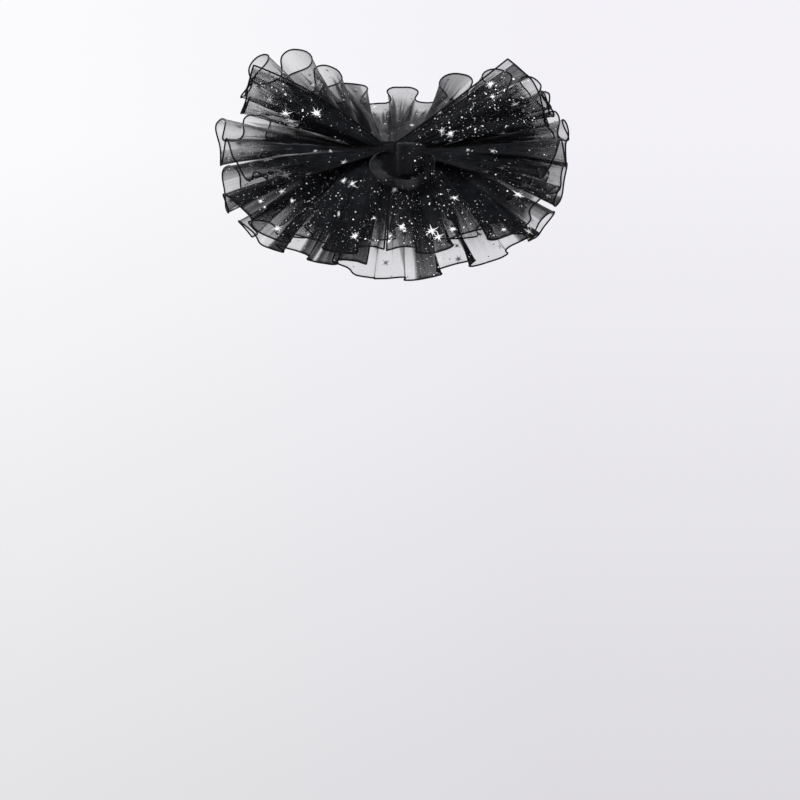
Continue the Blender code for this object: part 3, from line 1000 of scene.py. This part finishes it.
printed = {
    "dots":      Motifs(19000.0, 0.20 * mm,  1.22 * mm, 5.5, 0.03, 0.12, 11),
    "stars":     Motifs(  440.0, 4.50 * mm, 12.50 * mm, 1.6, 0.06, 0.22, 31),
    "frontDots": Motifs( 9500.0, 0.20 * mm,  1.22 * mm, 3.4, 0.03, 0.12, 71),
    "throughSeed": 40,                      # added to the seeds on a strip's other side
    "lift": 0.05 * mm,                      # clear of the cloth
    "foilThickness": 0.05 * mm,
    "reverseShare": 0.5,                    # how many motifs show through on a strip's other side
    "patchiness": 28.0,                     # how close together dense and bare patches lie
    "patchRange": (0.36, 0.66),             # the share of the noise where bare turns to dense
    "patchTimes": (0.35, 1.9),              # how much sparser and denser they are
    "roundDot": (6, 1.0),                   # sides, and its width against its length
    "longDot": (5, 0.7),
    "starSpikes": (7, 8, 9, 11, 12),        # one star is made with each number of rays
    "starSeed": 40,
    "rayShortest": 0.40,                    # a star's other rays, in shares of its longest
    "rayLongest": 0.95,
    "rayUneven": 0.25,                      # how far a ray strays from its place
    "rayRoot": (0.18, 0.075),               # how far out it lies, and how wide the ray is to each side
    "rayWaist": (0.60, 0.040),              # the same, as a share of that ray's length
    "middle": 0.15,                         # between two rays
}


def flatMotif(name, rim):                   # a thin closed lens with a given rim, its face on +Z
    count = len(rim)
    points = [(0, 0, 0), (0, 0, 1)] + [(x, y, 0.5) for x, y in rim]
    faces = []
    for k in range(count):
        corner, nextCorner = 2 + k, 2 + (k + 1) % count
        faces += [(0, nextCorner, corner), (1, corner, nextCorner)]
    mesh = newMesh(name, points, faces)
    addAttribute(mesh, "layer", [p[2] for p in points])
    front = mesh.attributes.new("front", "FLOAT", "FACE")
    front.data.foreach_set("value", [float(k % 2) for k in range(len(faces))])
    return bpy.data.objects.new(name, mesh)


def dotRim(sides, squash):
    turns = [2 * math.pi * k / sides for k in range(sides)]
    return [(math.cos(turn), squash * math.sin(turn)) for turn in turns]


def starRim(spikes, seed):                  # uneven thin rays round a small middle
    rng = np.random.default_rng(seed)
    rim = []
    for k in range(spikes):
        ray = 2 * math.pi * (k + rng.uniform(-printed["rayUneven"], printed["rayUneven"])) / spikes
        length = rng.uniform(printed["rayShortest"], printed["rayLongest"]) if k else 1.0
        root, rootSide = printed["rayRoot"]
        waist, waistSide = printed["rayWaist"][0] * length, printed["rayWaist"][1]
        c, s = math.cos(ray), math.sin(ray)
        for along, side in ((root, -rootSide), (waist, -waistSide), (length, 0.0),
                            (waist, waistSide), (root, rootSide)):
            rim.append((along * c - side * s, along * s + side * c))
        between = 2 * math.pi * (k + 0.5) / spikes
        rim.append((printed["middle"] * math.cos(between), printed["middle"] * math.sin(between)))
    return rim


def motifCollection(name, motifs):
    group = bpy.data.collections.new(name)
    for motif in motifs:
        group.objects.link(motif)
    return group


dots = motifCollection("foilDots", [
    flatMotif(name, dotRim(*printed[name])) for name in ("roundDot", "longDot")])
stars = motifCollection("foilStars", [
    flatMotif("starOf" + str(spikes), starRim(spikes, printed["starSeed"] + spikes))
    for spikes in printed["starSpikes"]])
motifShapes = {"dots": dots, "stars": stars, "frontDots": dots}


def printTree():                            # scatters motifs over a cloth and lays each point on it
    tree, entry, leave = newGeometryTree("foilPrint", {
        "Motifs": ("NodeSocketCollection", None),
        "Density": ("NodeSocketFloat", printed["dots"].density),
        "Smallest": ("NodeSocketFloat", printed["dots"].smallest),
        "Largest": ("NodeSocketFloat", printed["dots"].largest),
        "Favour small": ("NodeSocketFloat", printed["dots"].favourSmall),
        "Patchiness": ("NodeSocketFloat", printed["patchiness"]),
        "Side": ("NodeSocketFloat", 1.0),
        "Lift": ("NodeSocketFloat", printed["lift"]),
        "Foil thickness": ("NodeSocketFloat", printed["foilThickness"]),
        "Seed": ("NodeSocketInt", 0),
        "Foil": ("NodeSocketMaterial", None),
        "Backing": ("NodeSocketMaterial", None),
    })

    def given(label):
        return Wire(tree, entry.outputs[label])

    place = addNode(tree, "GeometryNodeInputPosition")
    patches = addNode(tree, "ShaderNodeTexNoise", {
        "Vector": place.outputs["Position"], "Scale": given("Patchiness"), "Detail": 1.0})
    thick = addNode(tree, "ShaderNodeMapRange", {
        "Value": patches.outputs["Fac"],
        "From Min": printed["patchRange"][0], "From Max": printed["patchRange"][1],
        "To Min": printed["patchTimes"][0], "To Max": printed["patchTimes"][1]})
    inside = attributeWire(tree, "printable")
    scatter = addNode(tree, "GeometryNodeDistributePointsOnFaces", {
        "Mesh": entry.outputs["Geometry"], "Seed": entry.outputs["Seed"],
        "Density": given("Density") * Wire(tree, thick.outputs["Result"]) * inside},
        distribute_method="RANDOM")
    outward = Wire(tree, scatter.outputs["Normal"]) * given("Side")
    turned = addNode(tree, "FunctionNodeAlignRotationToVector", {"Vector": outward}, axis="Z")
    spin = addNode(tree, "FunctionNodeRandomValue", {
        "Max": 2 * math.pi, "Seed": entry.outputs["Seed"]}, data_type="FLOAT")
    spinEuler = addNode(tree, "ShaderNodeCombineXYZ", {"Z": spin.outputs[1]})
    spun = addNode(tree, "FunctionNodeRotateRotation", {
        "Rotation": turned.outputs["Rotation"], "Rotate By": spinEuler.outputs["Vector"]},
        rotation_space="LOCAL")
    otherSeed = Wire(tree, entry.outputs["Seed"]) + 5.0         # so that size and spin are drawn apart
    luck = addNode(tree, "FunctionNodeRandomValue", {"Seed": otherSeed}, data_type="FLOAT")
    spread = given("Largest") - given("Smallest")
    size = Wire(tree, luck.outputs[1]) ** given("Favour small") * spread + given("Smallest")
    pick = addNode(tree, "GeometryNodeCollectionInfo", {
        "Collection": entry.outputs["Motifs"], "Separate Children": True, "Reset Children": True})
    nearlyFlat = 0.0001                         # its thickness comes below, once it lies on the cloth
    scale = addNode(tree, "ShaderNodeCombineXYZ", {"X": size, "Y": size, "Z": nearlyFlat})
    placed = addNode(tree, "GeometryNodeInstanceOnPoints", {
        "Points": scatter.outputs["Points"], "Instance": pick.outputs["Instances"], "Pick Instance": True,
        "Rotation": spun.outputs["Rotation"], "Scale": scale.outputs["Vector"]})
    real = addNode(tree, "GeometryNodeRealizeInstances", {"Geometry": placed.outputs["Instances"]})

    # every point is laid on the cloth again, because a motif is flat and the cloth is not
    under = entry.outputs["Geometry"]
    at = addNode(tree, "GeometryNodeInputPosition")
    nearest = addNode(tree, "GeometryNodeProximity", {
        0: under, "Source Position": at.outputs["Position"]}, target_element="FACES")
    onCloth = Wire(tree, nearest.outputs["Position"])
    normal = addNode(tree, "GeometryNodeInputNormal")
    sampled = addNode(tree, "GeometryNodeSampleNearestSurface", {
        "Mesh": under, "Value": normal.outputs["Normal"], "Sample Position": at.outputs["Position"]},
        data_type="FLOAT_VECTOR")
    away = Wire(tree, sampled.outputs["Value"]) * given("Side")
    height = given("Lift") + attributeWire(tree, "layer") * given("Foil thickness")
    laid = addNode(tree, "GeometryNodeSetPosition", {
        "Geometry": real.outputs["Geometry"], "Position": onCloth + away * height})
    backed = addNode(tree, "GeometryNodeSetMaterial", {
        "Geometry": laid.outputs["Geometry"], "Material": entry.outputs["Backing"]})
    facing = addNode(tree, "FunctionNodeCompare", {0: attributeWire(tree, "front"), 1: 0.5},
                     data_type="FLOAT", operation="GREATER_THAN")
    dressed = addNode(tree, "GeometryNodeSetMaterial", {
        "Geometry": backed.outputs["Geometry"], "Selection": facing.outputs["Result"],
        "Material": entry.outputs["Foil"]})
    tree.links.new(dressed.outputs["Geometry"], leave.inputs[0])
    return tree


foilPrint = printTree()


def makePrint(name, kind, grid, side, shift, face=foil, times=1.0, glitter=(), folds=1):
    motifs = printed[kind]
    rows, columns = grid.shape[:2]
    place = np.linspace(0, folds, rows)
    denser = np.ones(rows)
    for patch in glitter:
        denser[(place >= patch.start) & (place <= patch.end)] = patch.times
    mesh = newMesh(name, grid.reshape(-1, 3), gridFaces(rows, columns))
    mesh.shade_smooth()
    down = np.linspace(0, 1, columns) ** cloth["depthPower"]
    free = (down > motifs.fromSeam) & (down < 1 - motifs.fromHem)
    addAttribute(mesh, "printable", np.outer(denser, free).ravel())
    obj = newObject(name, mesh)
    useTree(obj, foilPrint, {
        "Motifs": motifShapes[kind], "Density": motifs.density * times, "Smallest": motifs.smallest,
        "Largest": motifs.largest, "Favour small": motifs.favourSmall, "Side": side,
        "Lift": printed["lift"] + cloth["ply"] / 2, "Seed": motifs.seed + shift,
        "Foil": face, "Backing": backing})
    mesh = freeze(obj)
    dropScratch(mesh)
    return obj


def printFrill(label, grid, frill, shift):  # four prints: dots and stars on each side of the strip
    side, farShift = frill["printSide"], printed["throughSeed"] + shift
    patches = {"glitter": frill["glitter"], "folds": len(frill["folds"])}
    through = {"face": dullFoil, "times": printed["reverseShare"]}
    return [
        makePrint(label + "Dots", "dots", grid, side, shift, **patches),
        makePrint(label + "Stars", "stars", grid, side, shift, face=starFoil, **patches),
        makePrint(label + "DotsThrough", "dots", grid, -side, farShift, **through),
        makePrint(label + "StarsThrough", "stars", grid, -side, farShift, **through),
    ]


for shift, (node, part) in enumerate(frillParts.items()):
    part["prints"] = printFrill(part["obj"].name, part["grid"], frills[node], shift)
print("foil printed")

for part in frillParts.values():            # not before, because foil is laid out from the ply's middle
    thicken(part["obj"], cloth["ply"])


Section = namedtuple("Section", "forward right up halfWidth halfHeight")

frontLoop = {
    "flat": (0.062, 0.120),                 # its size when laid out flat
    "plies": 6.0,
    "sheen": 0.16,
    "sweep": math.radians(118),             # how far it goes round to each side from its lowest line
    "steps": 90,
    "stepsPerSection": 8,
    "wrinkle": 1.1 * mm,
    "wrinkleWaves": ((7, 0.6), (12.3, 0.9)),        # how close they lie, and how much they slant
    "lump": 0.035,                          # how uneven its outline is, in shares of its size
    "lumpWaves": (3, 7),
    "lipTurnsIn": 0.26,                     # how far the lip rolls inwards at the bottom
    "lipTurnsFrom": 0.80,
    "lipTurnsPower": 1.5,                   # more than 1 turns it gently at first
    "lipFrom": 0.50,                        # where along the loop the painted sheen on its lip begins
    "lipFromAtMost": 0.92,
    "lipFades": 0.26,
    "lipPatches": 0.20,                     # how uneven the painted sheen is
    "lipPatchWaves": (4.0, 6.0),            # round the loop and along it
    "lipSide": math.radians(-78),           # it is widest here and at the foot, and faint elsewhere
    "lipSideWide": math.radians(36),
    "lipFoot": math.radians(10),
    "lipFootWide": math.radians(24),
    "lipStrength": (0.25, 0.75, 0.60),      # elsewhere, and what the side and the foot add
    "sections": [
        Section(   5,    0, -1,      2,        1),
        Section(   9,    0, -3,      8,        3),
        Section(  17,    3, -6,     24,        9),
        Section(  30,    6,-13,     36,       16),
        Section(  44,    8,-20,     42,       24),
        Section(  55,    8,-25,     42,       28),
        Section(  60,    8,-27,     38,       26),
        Section(  58,    8,-27,     33,       20),
    ],
}

Tongue = namedtuple("Tongue", "forward up left right bulge")

frontFold = {
    "flat": (0.045, 0.085),
    "plies": 7.0,
    "gloss": 0.012,
    "edgeWidth": 0.05,                      # of the painted highlight on its left edge, in shares of its width
    "edgeHighlight": 0.60,
    "edgeFrom": 0.25,                       # how far down the painted highlights on the edge and the panel begin
    "panelHighlight": 0.22,
    "panelFrom": 0.30,
    "panelWaves": (9, 5),                   # across and down
    "highlightGrows": 0.25,                     # over how much of the length
    "steps": 40,
    "stepsPerLine": 8,
    "wrinkle": 0.8 * mm,
    "wrinkleWaves": ((17, 0.4), (31, 0.7)),
    "lines": [
        Tongue(   5,   2,   1,   8,   0),
        Tongue(  12,   7,   0,  18,   2),
        Tongue(  25,   9,   0,  29,   4),
        Tongue(  36,   3,   0,  38,   6),
        Tongue(  42,  -9,   0,  42,   8),
        Tongue(  44, -23,   0,  41,   8),
        Tongue(  43, -35,   2,  34,   6),
    ],
}

frontOfNeck = neckPoint(np.zeros(1), 0.0)[0]


def shellNormals(grid):
    return unit(np.cross(np.gradient(grid, axis=0), np.gradient(grid, axis=1)))


def wrinkled(grid, across, place, piece):   # fine wrinkles that grow towards the free end
    (wide, slant), (fine, fineSlant) = piece["wrinkleWaves"]
    down = place[:, None]
    wrinkles = 0.6 * np.sin(across * wide + slant * down) + 0.4 * np.sin(across * fine - fineSlant * down)
    raised = piece["wrinkle"] * wrinkles * (down / math.ceil(place[-1]))
    return grid + shellNormals(grid) * raised[:, :, None]


def lipShare(grid):                         # painted sheen: 1 on the rolled lip of the loop, 0 deep inside it
    place = np.linspace(0, 1, len(grid))[:, None]
    turn = np.linspace(-frontLoop["sweep"], frontLoop["sweep"], grid.shape[1])[None, :]
    side = np.exp(-((turn - frontLoop["lipSide"]) / frontLoop["lipSideWide"]) ** 2)
    foot = np.exp(-((turn - frontLoop["lipFoot"]) / frontLoop["lipFootWide"]) ** 2)
    latest = frontLoop["lipFromAtMost"]
    start = latest - (latest - frontLoop["lipFrom"]) * np.maximum(side, foot)
    share = smoothStep((place - start) / frontLoop["lipFades"])
    elsewhere, atSide, atFoot = frontLoop["lipStrength"]
    strength = np.clip(elsewhere + atSide * side + atFoot * foot, 0, 1)
    patches, (around, along) = frontLoop["lipPatches"], frontLoop["lipPatchWaves"]
    patchy = 1 - patches + patches * np.sin(around * turn + along * place)
    return (share * patchy * strength).ravel()


def edgeShare(grid):                        # painted highlight: how grey the tongue is made, most on its left edge
    down = np.linspace(0, 1, len(grid))[:, None]
    across = np.linspace(0, 1, grid.shape[1])[None, :]
    edgeGrown, panelGrown = (
        np.clip((down - frontFold[start]) / frontFold["highlightGrows"], 0, 1)
        for start in ("edgeFrom", "panelFrom"))
    left = np.exp(-across / frontFold["edgeWidth"]) * edgeGrown
    waves = across * frontFold["panelWaves"][0] + down * frontFold["panelWaves"][1]
    panel = panelGrown * (0.7 + 0.3 * np.sin(waves))
    return np.clip(frontFold["edgeHighlight"] * left + frontFold["panelHighlight"] * panel, 0, 1).ravel()


def walked(grid, axis):                     # how far each point lies along the cloth, in metres
    steps = np.linalg.norm(np.diff(grid, axis=axis), axis=2)
    start = np.zeros_like(steps[:1] if axis == 0 else steps[:, :1])
    return np.concatenate([start, np.cumsum(steps, axis=axis)], axis=axis)


def sheetPiece(name, grid, material, ply, lip=None):
    rows, columns = grid.shape[:2]
    mesh = newMesh(name, grid.reshape(-1, 3), gridFaces(rows, columns))
    # the share of painted sheen, for the grey in the base colour
    if lip is not None:
        addAttribute(mesh, "lip", lip)
    mesh.shade_smooth()
    addUv(mesh, np.stack([walked(grid, 1), walked(grid, 0)], axis=-1).reshape(-1, 2))
    mesh.materials.append(material)
    obj = newObject(name, mesh)
    thicken(obj, ply)
    return obj


def loopGrid():
    rows = frontLoop["sections"]
    place = np.linspace(0.5, len(rows) - 0.5, (len(rows) - 1) * frontLoop["stepsPerSection"] + 1)
    forward, right, up, halfWidth, halfHeight = (
        smoothColumn(rows, column, place)[:, None] * mm for column in Section._fields)
    turn = np.linspace(-frontLoop["sweep"], frontLoop["sweep"], frontLoop["steps"] + 1)[None, :]
    along = np.linspace(0, 1, len(place))[:, None]
    rollsFrom = frontLoop["lipTurnsFrom"]
    rolled = np.clip((along - rollsFrom) / (1 - rollsFrom), 0, 1) ** frontLoop["lipTurnsPower"]
    low = 0.5 + 0.5 * np.cos(turn + 0.25)       # 1 at the bottom of the loop, 0 at its top
    wide, fine = frontLoop["lumpWaves"]
    lumps = frontLoop["lump"] * along * (np.sin(wide * turn + 1) + 0.6 * np.sin(fine * turn))
    size = 1 + lumps - frontLoop["lipTurnsIn"] * rolled * low
    grid = frontOfNeck + np.stack([
        right + halfWidth * size * np.sin(turn), -forward + 0 * turn,
        up - halfHeight * size * np.cos(turn)], axis=-1)
    return wrinkled(grid, turn, place, frontLoop)


def foldGrid():
    rows = frontFold["lines"]
    place = np.linspace(0.5, len(rows) - 0.5, (len(rows) - 1) * frontFold["stepsPerLine"] + 1)
    forward, up, left, right, bulge = (
        smoothColumn(rows, column, place)[:, None] * mm for column in Tongue._fields)
    across = np.linspace(0, 1, frontFold["steps"] + 1)[None, :]
    grid = frontOfNeck + np.stack([
        left + (right - left) * across,
        -forward - bulge * np.sin(np.pi * across),
        up + 0 * across], axis=-1)
    return wrinkled(grid, across, place, frontFold)


loopPoints = loopGrid()
foldPoints = foldGrid()
doubled = sheerMaterial("doubledCloth", plies=frontLoop["plies"], gathered=False,
                        sheen=frontLoop["sheen"], paintedSheenWhere="lip")
folded = sheerMaterial("foldedCloth", plies=frontFold["plies"], gathered=False,
                       sheen=0.0, gloss=frontFold["gloss"], paintedSheenWhere="lip")
loopPiece = sheetPiece("frontLoop", loopPoints, doubled, cloth["ply"], lipShare(loopPoints))
foldPiece = sheetPiece("frontFold", foldPoints, folded, cloth["ply"], edgeShare(foldPoints))
loopDots = makePrint("frontLoopDots", "frontDots", loopPoints, -1.0, 0)
foldDots = makePrint("frontFoldDots", "frontDots", foldPoints, 1.0, 1)
print("front loop and fold made")


band = {
    "height": 20 * mm,
    "wall": 2.4 * mm,                       # two plies of ribbon with the gathered edges between them
    "opening": 3.0,                         # degrees left open on each side of the centre front
    "steps": 220,
    "rows": 13,
    "inset": 0.2 * mm,                      # from the neck's line in to the middle of its wall
}


def bandPiece():
    bearing = np.radians(np.linspace(band["opening"], 360 - band["opening"], band["steps"] + 1))
    share = 1 - band["inset"] / neck["halfWidth"]
    lines = []
    for lift in np.linspace(-band["height"] / 2, band["height"] / 2, band["rows"]):
        middle = np.array([0.0, -lift * math.sin(neck["tilt"]), lift * math.cos(neck["tilt"])])
        lines.append(middle + (neckPoint(bearing, lift) - middle) * share)
    grid = np.stack(lines, axis=1)
    return sheetPiece("neckBand", grid, ribbon, band["wall"])


bandObject = bandPiece()
print("neck band made")


for node, part in frillParts.items():
    obj = part["obj"]
    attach(obj, "root")
    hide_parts(node)
    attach(part["hem"], "root")
    for foilPiece in part["prints"]:
        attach(foilPiece, "root")
    [part["hem"]] + part["prints"]

for obj, node, flat, dotPiece in (
        (loopPiece, "front_loop", frontLoop["flat"], loopDots),
        (foldPiece, "front_fold", frontFold["flat"], foldDots)):
    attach(obj, "root")
    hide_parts(node)
    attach(dotPiece, "root")

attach(bandObject, "root")
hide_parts("neck_band")
